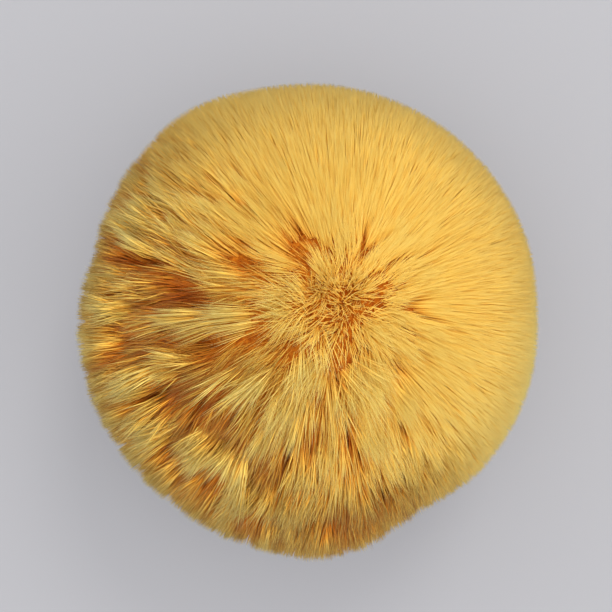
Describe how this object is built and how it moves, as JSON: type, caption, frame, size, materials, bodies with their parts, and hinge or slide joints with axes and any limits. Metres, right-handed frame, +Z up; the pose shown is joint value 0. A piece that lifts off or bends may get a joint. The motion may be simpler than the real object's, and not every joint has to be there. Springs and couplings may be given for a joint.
{
  "type": "pom pom",
  "caption": "Round fluffy pom pom of long golden yellow pile, radiating from a small backing, to sew or tie onto hats, bags or throws.",
  "frame": {"origin": "on the resting surface, under the middle of the pom pom's box", "axes": "+Z up from the resting surface, +X to the right and +Y away as the pom pom is seen from above"},
  "size_m": [0.1202, 0.1236, 0.1157],
  "materials": {
    "pile": "matte"
  },
  "bodies": {
    "root": {"pompom": "pile"}
  },
  "joints": []
}
